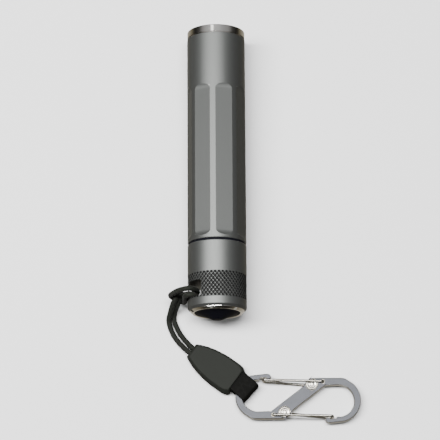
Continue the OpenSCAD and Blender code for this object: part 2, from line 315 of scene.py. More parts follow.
@dataclass(frozen=True)
class Anodised:
    """Bead-blasted and anodised aluminium, with edges rubbed a little lighter and painted shade on a knurled
    band.
    """

    name: str = "anodised_grey"
    colour: Point = (0.084, 0.087, 0.084)
    rubbed: Point = (0.21, 0.215, 0.205)
    roughness: float = 0.48
    knurl: tuple[float, float] | None = None

    def build(self) -> bpy.types.Material:
        """Makes the material, with painted shade over the knurled band, deepest in its pits, if it has one.

        Returns:
            The new material.
        """
        g = Graph(self.name)
        where, x, y, z = g.place()
        blast = g.noise(where, 9000, 3, 0.6)
        clouds = g.noise(where, 130, 2)
        wear = g.noise(where, 1400, 4, 0.65)
        edge = Val(g, g.node("ShaderNodeNewGeometry", {}, {}).outputs["Pointiness"]).smooth(0.505, 0.56)
        worn = edge * (0.35 + 0.65 * wear.smooth(0.4, 0.7))
        base = g.mix(clouds * 0.15 + blast * 0.3, self.colour, tuple(c * 1.22 for c in self.colour))
        colour = g.mix(worn * 0.6, base, self.rubbed)
        if self.knurl:
            back, front = self.knurl
            fade = 0.1 * MM
            # Painted shade: the knurled band is darkened, most in the pits between the ridges, to stand in
            # for their shadow.
            band = y.smooth(back, back + fade) * (1 - y.smooth(front - fade, front))
            ridge = g.from_axis(x, z).smooth(7.12 * MM, 7.225 * MM)
            colour = g.mix(band * (1 - 0.85 * ridge), colour, tuple(c * 0.12 for c in self.colour))
        g.set(Base_Color=colour, Metallic=0.82)
        g.set(Roughness=self.roughness + 0.10 * (blast - 0.5) - 0.08 * worn + 0.02 * (clouds - 0.5))
        g.shader.inputs["Specular IOR Level"].default_value = 0.4
        g.bump(blast, 6e-6, 0.5)
        return g.owner


@dataclass(frozen=True)
class TurnedMetal:
    """Metal turned or polished about the torch's axis, with fine tool lines round it."""

    name: str
    colour: Point
    roughness: float
    line_pitch_mm: float = 0.06
    line_depth: float = 2e-6
    tarnish: float = 0.25

    def build(self) -> bpy.types.Material:
        """Makes the material.

        Returns:
            The new material.
        """
        g = Graph(self.name)
        where, x, y, z = g.place()
        round_axis = g.vector(g.from_axis(x, z), y, 0.0)
        lines = g.noise(round_axis, 1 / (self.line_pitch_mm * MM), 2, 0.7)
        stain = g.noise(where, 500, 4, 0.6)
        dark = tuple(c * 0.72 for c in self.colour)
        g.set(Base_Color=g.mix((stain * self.tarnish + lines * 0.15), self.colour, dark), Metallic=1.0)
        g.set(Roughness=self.roughness * (0.75 + 0.35 * lines + 0.3 * stain))
        g.bump(lines, self.line_depth, 0.6)
        return g.owner


@dataclass(frozen=True)
class PlateSteel:
    """Stamped stainless plate or drawn wire, tumbled to a satin with small scratches, with a painted
    highlight on sideways faces.
    """

    name: str
    colour: Point
    roughness: float
    # The colour of the painted highlight on rims, side walls and the sides of wires.
    edge: Point
    scratch: float = 0.3

    def build(self) -> bpy.types.Material:
        """Makes the material.

        Returns:
            The new material.
        """
        g = Graph(self.name)
        where, x, y, z = g.place()
        grain = g.noise(where, 6000, 3, 0.6)
        long_way = x * 0.79 + y * 0.61
        cross_way = y * 0.79 - x * 0.61
        scratches = g.noise(g.vector(long_way * 0.06, cross_way, z), 9000, 2, 0.8).smooth(0.52, 0.75)
        clouds = g.noise(where, 320, 3)
        # Painted highlight: faces that turn sideways, which are the plate's rims and side walls and most of a
        # wire, take the light edge colour.
        normal = g.node("ShaderNodeNewGeometry", {}, {}).outputs["True Normal"]
        upright = Val(g, g.node("ShaderNodeSeparateXYZ", {}, {0: normal}).outputs[2])
        edge = 1 - g.math("ABSOLUTE", upright).smooth(0.9, 0.99)
        lighter = tuple(c * 1.5 for c in self.colour)
        face = g.mix(scratches * self.scratch + clouds * 0.3, self.colour, lighter)
        g.set(Base_Color=g.mix(edge, face, self.edge), Metallic=1.0)
        g.set(Roughness=self.roughness * (0.8 + 0.3 * grain + 0.2 * clouds) - 0.1 * edge)
        g.bump(grain * 0.6 + scratches * 0.4, 3e-6, 0.6)
        return g.owner


@dataclass(frozen=True)
class Moulded:
    """A moulded plastic or rubber with a fine grain and faint colour drift."""

    name: str
    colour: Point
    roughness: float
    grain_per_m: float = 7000
    grain_depth: float = 8e-6
    coat: float = 0.0
    shine: float = 0.4

    def build(self) -> bpy.types.Material:
        """Makes the material.

        Returns:
            The new material.
        """
        g = Graph(self.name)
        where, x, y, z = g.place()
        grain = g.noise(where, self.grain_per_m, 3, 0.6)
        drift = g.noise(where, 240, 3, 0.55)
        dust = g.noise(where, 2600, 4, 0.7).smooth(0.58, 0.8)
        lighter = tuple(c * 1.35 + 0.002 for c in self.colour)
        g.set(Base_Color=g.mix(drift * 0.5 + dust * 0.3, self.colour, lighter))
        g.set(Roughness=self.roughness * (0.85 + 0.2 * grain + 0.15 * drift), Coat_Weight=self.coat)
        g.shader.inputs["Specular IOR Level"].default_value = self.shine
        g.bump(grain, self.grain_depth, 0.7)
        return g.owner


@dataclass(frozen=True)
class Nylon:
    """Braided or woven nylon: its strands are in the mesh, with painted shade between them, and its filaments
    in the bump.
    """

    name: str
    colour: Point
    # The lighter colour: painted light on the strands' crests, also reached by drift and fluff.
    light: Point
    filaments_per_m: float = 14000
    sheen: float = 0.04

    def build(self) -> bpy.types.Material:
        """Makes the material.

        Returns:
            The new material.
        """
        g = Graph(self.name)
        where, x, y, z = g.place()
        # Painted shade: by the mesh's pointiness, the crevices between strands get the dark colour and the
        # crests the light one.
        crease_shade_mask = Val(g, g.node("ShaderNodeNewGeometry", {}, {}).outputs["Pointiness"]).smooth(0.46, 0.54)
        fibre = g.noise(where, self.filaments_per_m, 2, 0.8)
        drift = g.noise(where, 500, 3)
        fluff = g.noise(where, 5200, 4, 0.75).smooth(0.55, 0.75)
        shade = crease_shade_mask * 0.55 + drift * 0.25 + fluff * 0.2
        g.set(Base_Color=g.mix(shade, self.colour, self.light), Roughness=0.62 + 0.25 * fibre - 0.1 * crease_shade_mask)
        g.shader.inputs["Sheen Weight"].default_value = self.sheen
        g.shader.inputs["Sheen Roughness"].default_value = 0.4
        g.shader.inputs["Specular IOR Level"].default_value = 0.05
        g.bump(fibre, 2.5e-5, 0.6)
        return g.owner


@dataclass(frozen=True)
class LensGlass:
    """Clear glass with a faint smear."""

    name: str = "lens_glass"

    def build(self) -> bpy.types.Material:
        """Makes the material.

        Returns:
            The new material.
        """
        g = Graph(self.name)
        where, x, y, z = g.place()
        smear = g.noise(where, 260, 4, 0.6).smooth(0.5, 0.8)
        g.set(Base_Color=(0.96, 0.985, 0.98), Roughness=0.02 + 0.05 * smear)
        g.shader.inputs["IOR"].default_value = 1.5
        g.shader.inputs["Transmission Weight"].default_value = 1.0
        return g.owner


@dataclass(frozen=True)
class Phosphor:
    """The emitter: a yellow die patch on a white package, under a clear silicone dome."""

    name: str = "led_phosphor"
    package: Point = (0.72, 0.72, 0.68)
    die: Point = (0.85, 0.62, 0.08)
    die_half: float = 0.95 * MM

    def build(self) -> bpy.types.Material:
        """Makes the material.

        Returns:
            The new material.
        """
        g = Graph(self.name)
        where, x, y, z = g.place()
        across = g.math("ABSOLUTE", x)
        up = g.math("ABSOLUTE", z - AXIS_Z)
        off = g.math("MAXIMUM", across, up)
        patch = 1 - off.smooth(self.die_half * 0.93, self.die_half)
        grain = g.noise(where, 12000, 2)
        g.set(Base_Color=g.mix(patch * (0.85 + 0.15 * grain), self.package, self.die))
        g.set(Roughness=0.35 + 0.2 * grain, Coat_Weight=0.8)
        g.bump(grain, 4e-6, 0.4)
        return g.owner


class Finish(Enum):
    """Every finish of the flashlight."""

    ANODISED = Anodised()
    # Its knurled band carries painted shade, deepest in the pits.
    KNURLED = Anodised("anodised_knurled", knurl=(-32.6 * MM, -26.15 * MM))
    POLISHED = TurnedMetal("polished_steel", (0.78, 0.76, 0.73), 0.13, 0.05, 1.2e-6, 0.12)
    BRASS = TurnedMetal("turned_brass", (0.72, 0.50, 0.20), 0.28)
    GOLD = TurnedMetal("gold_plate", (0.86, 0.64, 0.25), 0.2, 0.05, 1e-6)
    CELL_STEEL = TurnedMetal("nickel_steel", (0.62, 0.61, 0.58), 0.3)
    MIRROR = TurnedMetal("reflector_mirror", (0.93, 0.93, 0.92), 0.06, 0.4, 1e-6, 0.05)
    # For PLATE and WIRE the last colour is the painted highlight on sideways faces.
    PLATE = PlateSteel("clip_plate_steel", (0.034, 0.035, 0.038), 0.42, (0.62, 0.61, 0.58))
    WIRE = PlateSteel("gate_wire_steel", (0.20, 0.19, 0.17), 0.26, (0.42, 0.40, 0.36), 0.2)
    RUBBER = Moulded("black_rubber", (0.004, 0.004, 0.0065), 0.5, shine=0.02)
    TAG_RUBBER = Moulded("tag_rubber", (0.0105, 0.0115, 0.0095), 0.6, 5200, 1.2e-5, shine=0.06)
    BLACK_PLASTIC = Moulded("black_plastic", (0.022, 0.022, 0.023), 0.42)
    WHITE_PLASTIC = Moulded("white_plastic", (0.72, 0.71, 0.68), 0.45)
    IVORY_PLASTIC = Moulded("ivory_plastic", (0.62, 0.58, 0.46), 0.4)
    MASK_GREEN = Moulded("solder_mask_green", (0.02, 0.14, 0.06), 0.35, 4000, 6e-6, 0.4)
    MASK_WHITE = Moulded("solder_mask_white", (0.75, 0.75, 0.72), 0.35, 4000, 6e-6, 0.3)
    INSULATION = Moulded("wire_insulation", (0.45, 0.03, 0.02), 0.35)
    SLEEVE = Moulded("cell_film", (0.07, 0.085, 0.11), 0.25, 900, 8e-6, 0.5)
    CORD = Nylon("braided_cord", (0.0035, 0.0039, 0.0031), (0.016, 0.017, 0.014))
    WEBBING = Nylon("woven_webbing", (0.001, 0.001, 0.0008), (0.004, 0.004, 0.0033), 9000, 0.0)
    GLASS = LensGlass()
    LED = Phosphor()

    @cache
    def material(self) -> bpy.types.Material:
        """The finish's material, made once."""
        return self.value.build()


# ---------------------------------------------------------------- frame and meshes


@dataclass(frozen=True)
class Fit:
    """The box of a CAD node, read as a piece turned about the torch's axis."""

    low: Vector
    high: Vector

    @classmethod
    def of(cls, node: str) -> "Fit":
        """The fit of one CAD node."""
        return cls(*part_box(node))

    @property
    def radius(self) -> float:
        """Half the node's width."""
        return (self.high.x - self.low.x) / 2

    @property
    def middle(self) -> Vector:
        """The box's middle."""
        return (self.low + self.high) / 2

    @property
    def in_mm(self) -> tuple[float, float, float]:
        """The radius, and the back and front along the torch, in millimetres."""
        return self.radius / MM, self.low.y / MM, self.high.y / MM


AXIS_Z = Fit.of("tail_cap").middle.z


def metres(pairs: Iterable[tuple[float, float]]) -> Profile:
    """Pairs of radius and place in millimetres, as metres."""
    return [(radius * MM, y * MM) for radius, y in pairs]


class Shape:
    """Makes the objects that pieces are built as."""

    @staticmethod
    def linked(name: str, data: bpy.types.ID) -> bpy.types.Object:
        """Adds an object to the scene.

        Args:
            name: Its name.
            data: Its mesh, camera or light.

        Returns:
            The new object.
        """
        made = bpy.data.objects.new(name, data)
        bpy.context.scene.collection.objects.link(made)
        return made

    @staticmethod
    def mesh(
        name: str, points: np.ndarray, faces: Iterable[Sequence[int]], sharp: float = 35.0,
    ) -> bpy.types.Object:
        """A smooth-shaded mesh object.

        Args:
            name: The piece's name.
            points: Its vertices, in metres, or in the unit that a later transform scales.
            faces: Its faces, as vertex numbers.
            sharp: The angle in degrees above which an edge stays crisp.

        Returns:
            The new object, in the scene.
        """
        data = bpy.data.meshes.new(name)
        data.from_pydata([tuple(p) for p in np.asarray(points, float)], [], [list(f) for f in faces])
        data.validate()
        cleaned = bmesh.new()
        cleaned.from_mesh(data)
        bmesh.ops.remove_doubles(cleaned, verts=cleaned.verts, dist=1e-7)
        bmesh.ops.recalc_face_normals(cleaned, faces=cleaned.faces)
        cleaned.to_mesh(data)
        cleaned.free()
        made = Shape.linked(name, data)
        Shape.shade(made, sharp)
        return made

    @staticmethod
    def shade(piece: bpy.types.Object, sharp: float) -> None:
        """Shades a piece smooth, with edges above an angle in degrees kept crisp."""
        piece.data.shade_smooth()
        piece.data.set_sharp_from_angle(angle=math.radians(sharp))

    @staticmethod
    def grid_faces(rows: int, columns: int, close_rows: bool, close_columns: bool) -> list[tuple[int, ...]]:
        """The quads of a grid of points.

        Args:
            rows: The number of rows.
            columns: The number of points in a row.
            close_rows: Whether the last row joins the first.
            close_columns: Whether each row closes on itself.

        Returns:
            The quads.
        """
        faces = []
        for i in range(rows if close_rows else rows - 1):
            for k in range(columns if close_columns else columns - 1):
                a, b = i * columns, (i + 1) % rows * columns
                faces.append((a + k, a + (k + 1) % columns, b + (k + 1) % columns, b + k))
        return faces

    @staticmethod
    def tube_faces(rows: int, columns: int) -> list[tuple[int, ...]]:
        """The faces of an open run of closed rows, with a flat face at each end.

        Args:
            rows: The number of rows.
            columns: The number of points in a row.

        Returns:
            The faces.
        """
        first = tuple(range(columns - 1, -1, -1))
        last = tuple(range((rows - 1) * columns, rows * columns))
        return [*Shape.grid_faces(rows, columns, False, True), first, last]

    @staticmethod
    def supported(profile: Profile, near: float = 0.03 * MM) -> Profile:
        """An outline with extra points near the ends of its long sides, which then shade as straight.

        Args:
            profile: The closed outline.
            near: How far the extra points are from the ends.

        Returns:
            The outline with its extra points.
        """
        points = []
        for (r, y), (next_r, next_y) in zip(profile, [*profile[1:], profile[0]]):
            points.append((r, y))
            side = math.hypot(next_r - r, next_y - y)
            if side > 10 * near:
                for share in (near / side, 1 - near / side):
                    points.append((r + (next_r - r) * share, y + (next_y - y) * share))
        return points

    @staticmethod
    def turned(
        name: str, profile: Profile, columns: int = 128,
        shift: Callable[[np.ndarray, float, float], np.ndarray] | None = None, sharp: float = 35.0,
    ) -> bpy.types.Object:
        """A closed profile turned about the torch's axis.

        Args:
            name: The piece's name.
            profile: Its closed outline, as pairs of radius and place along Y, in metres.
            columns: Points round the axis.
            shift: Gives each row's radii from its angles, radius and place; none keeps them round.
            sharp: The angle in degrees above which an edge stays crisp.

        Returns:
            The new object.
        """
        angle = np.linspace(0, 2 * math.pi, columns, endpoint=False)
        rows = []
        profile = Shape.supported(profile)
        for radius, y in profile:
            r = np.full(columns, radius) if shift is None else shift(angle, radius, y)
            rows.append(np.stack([r * np.sin(angle), np.full(columns, y), AXIS_Z + r * np.cos(angle)], 1))
        faces = Shape.grid_faces(len(profile), columns, True, True)
        return Shape.mesh(name, np.concatenate(rows), faces, sharp)

    @staticmethod
    def swept(
        name: str, path: np.ndarray, ring: np.ndarray | Callable[[int, np.ndarray], np.ndarray],
        first_side: Point = (0.1, 0.2, 1.0), sharp: float = 60.0,
    ) -> bpy.types.Object:
        """A section carried along a path without twisting, with flat ends.

        Args:
            name: The piece's name.
            path: The path's points, in metres, or in the unit that a later transform scales.
            ring: The section's points as pairs, or a function that gives them for a row.
            first_side: A direction that the section's first axis starts near.
            sharp: The angle in degrees above which an edge stays crisp.

        Returns:
            The new object.
        """
        tangent = np.gradient(path, axis=0)
        tangent /= np.linalg.norm(tangent, axis=1)[:, None]
        side = np.array(first_side, float)
        rows = []
        for i, (point, along) in enumerate(zip(path, tangent)):
            side = side - (side @ along) * along
            side /= np.linalg.norm(side)
            section = ring(i, path) if callable(ring) else ring
            rows.append(point + section[:, :1] * side + section[:, 1:] * np.cross(along, side))
        faces = Shape.tube_faces(len(rows), len(rows[0]))
        return Shape.mesh(name, np.concatenate(rows), faces, sharp)

    @staticmethod
    def curved(points: Sequence[Sequence[float]], step: float) -> np.ndarray:
        """A smooth curve through a list of points.

        Args:
            points: The points, in any one unit.
            step: The distance between the curve's points, in the same unit.

        Returns:
            The curve's points, evenly spaced.
        """
        p = np.array(points, float)
        q = np.vstack([2 * p[0] - p[1], p, 2 * p[-1] - p[-2]])
        fine = []
        for a, b, c, d in zip(q, q[1:], q[2:], q[3:]):
            for t in np.linspace(0, 1, 12, endpoint=False):
                fine.append(0.5 * (2 * b + (c - a) * t + (2 * a - 5 * b + 4 * c - d) * t**2
                                   + (3 * b - a - 3 * c + d) * t**3))
        fine = np.array([*fine, p[-1]])
        run = np.concatenate([[0], np.cumsum(np.linalg.norm(np.diff(fine, axis=0), axis=1))])
        even = np.linspace(0, run[-1], int(run[-1] / step) + 1)
        return np.stack([np.interp(even, run, fine[:, k]) for k in range(3)], 1)

    @staticmethod
    def round_section(radius: float, sides: int) -> np.ndarray:
        """A circle's points, as pairs."""
        a = np.linspace(0, 2 * math.pi, sides, endpoint=False)
        return np.stack([radius * np.cos(a), radius * np.sin(a)], 1)

    @staticmethod
    def chamfered_copy(name: str, node: str, width: float) -> bpy.types.Object:
        """A flat CAD node's shape with the rims of its two faces chamfered.

        Args:
            name: The new piece's name.
            node: The CAD node.
            width: The chamfer's width, in metres.

        Returns:
            The new object.
        """
        work = bmesh.new()
        work.from_mesh(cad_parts[node].data)
        bmesh.ops.remove_doubles(work, verts=work.verts, dist=2e-6)
        fit = Fit.of(node)
        for level, way in ((fit.high.z, 1), (fit.low.z, -1)):
            facing = [f for f in work.faces if f.normal.z * way > 0.99]
            flat = [f for f in facing if abs(f.verts[0].co.z - level) < width / 2]
            rim = bmesh.ops.inset_region(
                work, faces=flat, thickness=width, use_even_offset=True, use_boundary=True)
            inner = {v for f in flat for v in f.verts}
            for v in {v for f in rim["faces"] for v in f.verts} - inner:
                v.co.z -= way * width
        data = bpy.data.meshes.new(name)
        work.to_mesh(data)
        work.free()
        made = Shape.linked(name, data)
        Shape.shade(made, 30)
        for face in data.polygons:
            face.use_smooth = abs(face.normal.z) < 0.99
        return made

    @staticmethod
    def apply(piece: bpy.types.Object) -> None:
        """Makes a piece's modifiers part of its mesh.

        Args:
            piece: The piece.
        """
        graph = bpy.context.evaluated_depsgraph_get()
        graph.update()
        baked = bpy.data.meshes.new_from_object(piece.evaluated_get(graph))
        piece.modifiers.clear()
        piece.data = baked


def dress(piece: bpy.types.Object, finish: Finish) -> bpy.types.Object:
    """Gives a piece its finish.

    Args:
        piece: The piece or CAD node.
        finish: Its finish.

    Returns:
        The piece.
    """
    piece.data.materials.clear()
    piece.data.materials.append(finish.material())
    return piece


def fasten(piece: bpy.types.Object, finish: Finish, body: Body, slot: str, *nodes: str) -> bpy.types.Object:
    """Dresses a piece, lets it ride on a body and stand for its CAD nodes.

    Args:
        piece: The piece.
        finish: Its finish.
        body: The body that it rides on.
        slot: Not used.
        nodes: The CAD nodes that it stands for.

    Returns:
        The piece.
    """
    dress(piece, finish)
    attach(piece, body.value)
    if nodes:
        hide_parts(*nodes)
    LOG.info("%s rides on %s", piece.name, body.value)
    return piece


# ---------------------------------------------------------------- studio


@dataclass
class Studio:
    """The camera, the pale floor and the soft lights."""

    aim: Point = (0.776 * MM, -11.76 * MM, 7.25 * MM)
    distance: float = 570.4 * MM
    elevation: float = 74.864
    roll: float = -0.329
    lens_mm: float = 188.9
    floor_colour: Point = (0.74, 0.74, 0.74)
    surround: tuple[tuple[float, Point], ...] = (
        (0.0, (0.62, 0.58, 0.50)), (0.12, (0.40, 0.37, 0.30)), (0.3, (0.20, 0.18, 0.13)),
        (0.42, (0.04, 0.036, 0.028)), (0.5, (0.018, 0.017, 0.015)), (0.66, (0.06, 0.058, 0.054)),
        (0.8, (0.30, 0.30, 0.30)), (1.0, (0.42, 0.43, 0.44)))

    def build(self) -> None:
        """Makes the camera, floor, world and lights."""
        self.camera()
        self.floor()
        self.lights()

    def camera(self) -> None:
        """Places the camera above the tail, looking down on the torch."""
        tilt = math.radians(self.elevation)
        back = Vector((0, -math.cos(tilt), math.sin(tilt)))
        data = bpy.data.cameras.new("camera")
        data.lens = self.lens_mm
        data.sensor_width = 36.0
        data.clip_start = 0.01
        made = Shape.linked("camera", data)
        turn = back.to_track_quat("Z", "Y").to_matrix().to_4x4()
        place = Matrix.Translation(Vector(self.aim) + back * self.distance)
        made.matrix_world = place @ turn @ Matrix.Rotation(math.radians(self.roll), 4, "Z")
        bpy.context.scene.camera = made

    def floor(self) -> None:
        """Lays a plain pale floor under the flashlight."""
        half = 3.0
        points = np.array([(-half, -half, 0), (half, -half, 0), (half, half, 0), (-half, half, 0)], float)
        floor = Shape.mesh("floor", points, [(0, 1, 2, 3)])
        g = Graph("pale_floor")
        where, x, y, z = g.place()
        mottle = g.noise(where, 30, 3)
        g.set(Base_Color=g.mix(mottle * 0.3, self.floor_colour, tuple(c * 0.95 for c in self.floor_colour)))
        g.set(Roughness=0.6 + 0.1 * mottle)
        floor.data.materials.append(g.owner)
        floor.visible_glossy = False

    def lights(self) -> None:
        """Makes the dim surround, a long soft light overhead, a strip that glints, and two specks."""
        g = Graph("surround", world=True)
        toward = g.node("ShaderNodeTexCoord", {}, {}).outputs["Generated"]
        up = Val(g, g.node("ShaderNodeSeparateXYZ", {}, {0: toward}).outputs[2])
        ramp = g.node("ShaderNodeValToRGB", {"stops": self.surround}, {0: 0.5 + 0.5 * up})
        g.set(Color=ramp.outputs[0])
        bpy.context.scene.world = g.owner
        self.panel("key", (-0.15, 0.04, 0.62), (0.75, 0.16), 15.0)
        self.panel("glint", (-0.15, 0.2, 0.6), (0.09, 0.3), 0.22)
        self.panel("left_speck", (-0.27, -0.58, 0.085), (0.02, 0.02), 0.05)
        self.panel("right_speck", (-0.15, -0.61, 0.085), (0.02, 0.02), 0.05)

    def panel(self, name: str, place: Point, size: tuple[float, float], watts: float) -> None:
        """Hangs one rectangular light that faces the flashlight.

        Args:
            name: The light's name.
            place: Where it hangs, in metres.
            size: Its width across and its length.
            watts: Its power.
        """
        data = bpy.data.lights.new(name, "AREA")
        data.shape = "RECTANGLE"
        data.size, data.size_y = size
        data.energy = watts
        made = Shape.linked(name, data)
        back = (Vector(place) - Vector(self.aim)).normalized()
        side = (Vector((1, 0, 0)) - back * back.x).normalized()
        turn = Matrix((side, back.cross(side), back)).transposed().to_4x4()
        made.matrix_world = Matrix.Translation(place) @ turn


# ---------------------------------------------------------------- torch


@dataclass
class Barrel:
    """The barrel: a tube with eight milled flats whose ends are scooped. Its lengths are in millimetres."""

    flats: int = 8
    first_flat: float = 15.4
    depth: float = 0.32
    scoop: float = 3.1
    middle: float = 2.25
    length: float = 36.1
    least_half: float = math.radians(1.2)
    bore: float = 5.4
    engine_bore: float = 6.4
    engine_deep: float = 11.0
    thread_root: float = 6.2
    thread_crest: float = 6.35
    thread_back: float = -22.45
    thread_pitch: float = 0.75
    thread_turns: int = 4
    shoulder: float = -17.95
    chamfer: float = 0.15
    seat_wall: float = 0.45
    seat_deep: float = 1.8
    fit: Fit = field(default_factory=lambda: Fit.of("barrel"))

    def face_height(self, y: float) -> float:
        """How far the flats lie from the axis at a place along it.

        Args:
            y: The place along the torch's axis.

        Returns:
            The distance, which passes the barrel's radius where there is no flat.
        """
        past = max(0.0, abs(y - self.middle) - self.length / 2)
        face = self.fit.in_mm[0] - self.depth
        return face + self.scoop - math.sqrt(max(0.0, self.scoop**2 - min(past, self.scoop) ** 2))

    def row_places(self) -> list[float]:
        """Places of the outer surface's rows, closer together in the scoops.

        Returns:
            The places along the axis, in order.
        """
        run_out = math.sqrt(2 * self.scoop * self.depth - self.depth**2)
        scoops = [self.length / 2 + run_out * t for t in np.linspace(0, 0.9985, 14)]
        flat = list(np.linspace(0, self.length / 2, 12)[:-1])
        half = flat + scoops + [self.length / 2 + run_out + 0.03]
        return sorted({self.middle + side * d for side in (-1, 1) for d in half})

    def row(self, radius: float, y: float, shaped: bool) -> np.ndarray:
        """One row of points round the axis, with columns that keep to the edges of the flats.

        Args:
            radius: The round radius.
            y: The place along the axis.
            shaped: Whether the flats cut this row.

        Returns:
            The row's points, in metres.
        """
        step = 2 * math.pi / self.flats
        height = self.face_height(y)
        half = math.acos(height / radius) if shaped and height < radius else self.least_half
        across = np.linspace(-half, half, 12)
        land = np.linspace(half, step - half, 18)[1:-1]
        angle = np.concatenate([math.radians(self.first_flat) + i * step + np.concatenate([across, land])
                                for i in range(self.flats)])
        r = np.full(len(angle), radius)
        if shaped and height < radius:
            local = np.concatenate([across, np.full(len(land), half)])
            r = np.tile(height / np.cos(local), self.flats)
            r = np.minimum(r, radius)
        points = np.stack([r * np.sin(angle), np.full(len(angle), y), r * np.cos(angle)], 1)
        return points * MM + (0, 0, AXIS_Z)

    def rows(self) -> list[tuple[float, float, bool]]:
        """Every row of the tube: its bore, its thread, its outside and its front.

        Returns:
            Each row's round radius and place, and whether the flats cut it.
        """
        big, back, front = self.fit.in_mm
        root, crest, edge = self.thread_root, self.thread_crest, self.chamfer
        rear = [(self.bore, front - self.engine_deep), (self.bore, back), (root - 0.2, back),
                (root, back + 0.2)]
        for turn in range(self.thread_turns):
            y = self.thread_back + turn * self.thread_pitch
            rear += [(root, y - 0.2), (crest, y - 0.08), (crest, y + 0.08), (root, y + 0.2)]
        rear += [(root, self.shoulder), (big - 0.22, self.shoulder), (big - 0.06, self.shoulder + 0.06),
                 (big, self.shoulder + 0.22), (big, self.shoulder + 0.26)]
        rim = [(big, front - edge - 0.05), (big, front - edge), (big - 0.04, front - 0.04),
               (big - edge, front), (big - self.seat_wall, front),
               (big - self.seat_wall, front - self.seat_deep),
               (self.engine_bore, front - self.seat_deep), (self.engine_bore, front - self.engine_deep)]
        outside = [(big, y, True) for y in self.row_places()]
        return [(*pair, False) for pair in rear] + outside + [(*pair, False) for pair in rim]

    def build(self) -> bpy.types.Object:
        """Makes the barrel.

        Returns:
            The barrel's object.
        """
        points = [self.row(*row) for row in self.rows()]
        faces = Shape.grid_faces(len(points), len(points[0]), True, True)
        return Shape.mesh("barrel_tube", np.concatenate(points), faces, 11)


@dataclass
class TailCap:
    """The tail cap: a turned cap with a knurled band and a slot for the lanyard."""

    lines: int = 48
    knurl_front: float = -26.15 * MM
    knurl_back: float = -32.6 * MM
    knurl_pitch: float = 1.15 * MM
    knurl_depth: float = 0.19 * MM
    slot_low: Point = (-6.9 * MM, -32.2 * MM, -1 * MM)
    slot_high: Point = (-3.9 * MM, -28.1 * MM, 16 * MM)
    fit: Fit = field(default_factory=lambda: Fit.of("tail_cap"))

    def knurl(self, angle: np.ndarray, radius: float, y: float) -> np.ndarray:
        """Radii of one row: crossing ridges with pits between them inside the knurled band.

        Args:
            angle: The row's angles.
            radius: The round radius.
            y: The place along the axis.

        Returns:
            The radii.
        """
        if not self.knurl_back < y < self.knurl_front or radius < self.fit.radius - 0.3 * MM:
            return np.full(len(angle), radius)
        turn = angle * self.lines / (2 * math.pi)
        along = y / self.knurl_pitch
        slope = [np.abs(((turn + side * along) % 1.0) - 0.5) * 2 for side in (-1, 1)]
        pit = np.clip(np.minimum(1 - slope[0], 1 - slope[1]) * 1.7 - 0.1, 0, 1)
        edge = min(1.0, (self.knurl_front - y) / (0.25 * MM), (y - self.knurl_back) / (0.25 * MM))
        return radius - (0.03 * MM + self.knurl_depth * pit) * max(edge, 0.0)

    def profile(self) -> Profile:
        """The cap's closed outline, outside first.

        Returns:
            Its pairs of radius and place, in metres.
        """
        big, back, front = self.fit.in_mm
        knurl_front, knurl_back = self.knurl_front / MM, self.knurl_back / MM
        cavity, floor, hole = 5.9, -26.4, 2.3
        socket, socket_end, socket_row = 6.42, -23.45, -19.6
        boot_seat, seat_floor = 6.15, -33
        outside = [(socket, front), (big - 0.2, front), (big - 0.05, front - 0.05), (big, front - 0.2),
                   (big, front - 4), (big, knurl_front + 0.3), (big, knurl_front + 0.02)]
        outside += [(big, y) for y in np.linspace(knurl_front + 0.01, knurl_back - 0.01, 68)]
        outside += [(big, knurl_back - 0.02), (big, knurl_back - 0.3), (big, back + 0.53),
                    (big - 0.03, back + 0.47), (6.78, back + 0.04), (6.72, back)]
        inside = [(boot_seat, back), (boot_seat, seat_floor), (hole, seat_floor), (hole, floor),
                  (cavity, floor), (cavity, socket_end), (socket, socket_end), (socket, socket_row)]
        return metres(outside + inside)

    def cutter(self) -> bpy.types.Object:
        """The block, with rounded upright edges, that cuts the slot.

        Returns:
            The block's object.
        """
        low, high = Vector(self.slot_low), Vector(self.slot_high)
        block = bmesh.new()
        bmesh.ops.create_cube(block, size=1.0)
        bmesh.ops.scale(block, vec=high - low, verts=block.verts)
        bmesh.ops.translate(block, vec=(low + high) / 2, verts=block.verts)
        upright = [e for e in block.edges if abs(e.verts[0].co.z - e.verts[1].co.z) > 5 * MM]
        bmesh.ops.bevel(block, geom=upright, offset=0.6 * MM, segments=6, affect="EDGES", profile=0.5)
        data = bpy.data.meshes.new("slot_cutter")
        block.to_mesh(data)
        block.free()
        return Shape.linked("slot_cutter", data)

    def build(self) -> bpy.types.Object:
        """Makes the cap.

        Returns:
            The cap's object.
        """
        cap = Shape.turned("knurled_tail_cap", self.profile(), 480, self.knurl)
        cutter = self.cutter()
        cut = cap.modifiers.new("slot", "BOOLEAN")
        cut.operation = "DIFFERENCE"
        cut.solver = "EXACT"
        cut.object = cutter
        Shape.apply(cap)
        bpy.data.objects.remove(cutter)
        Shape.shade(cap, 25)
        return cap


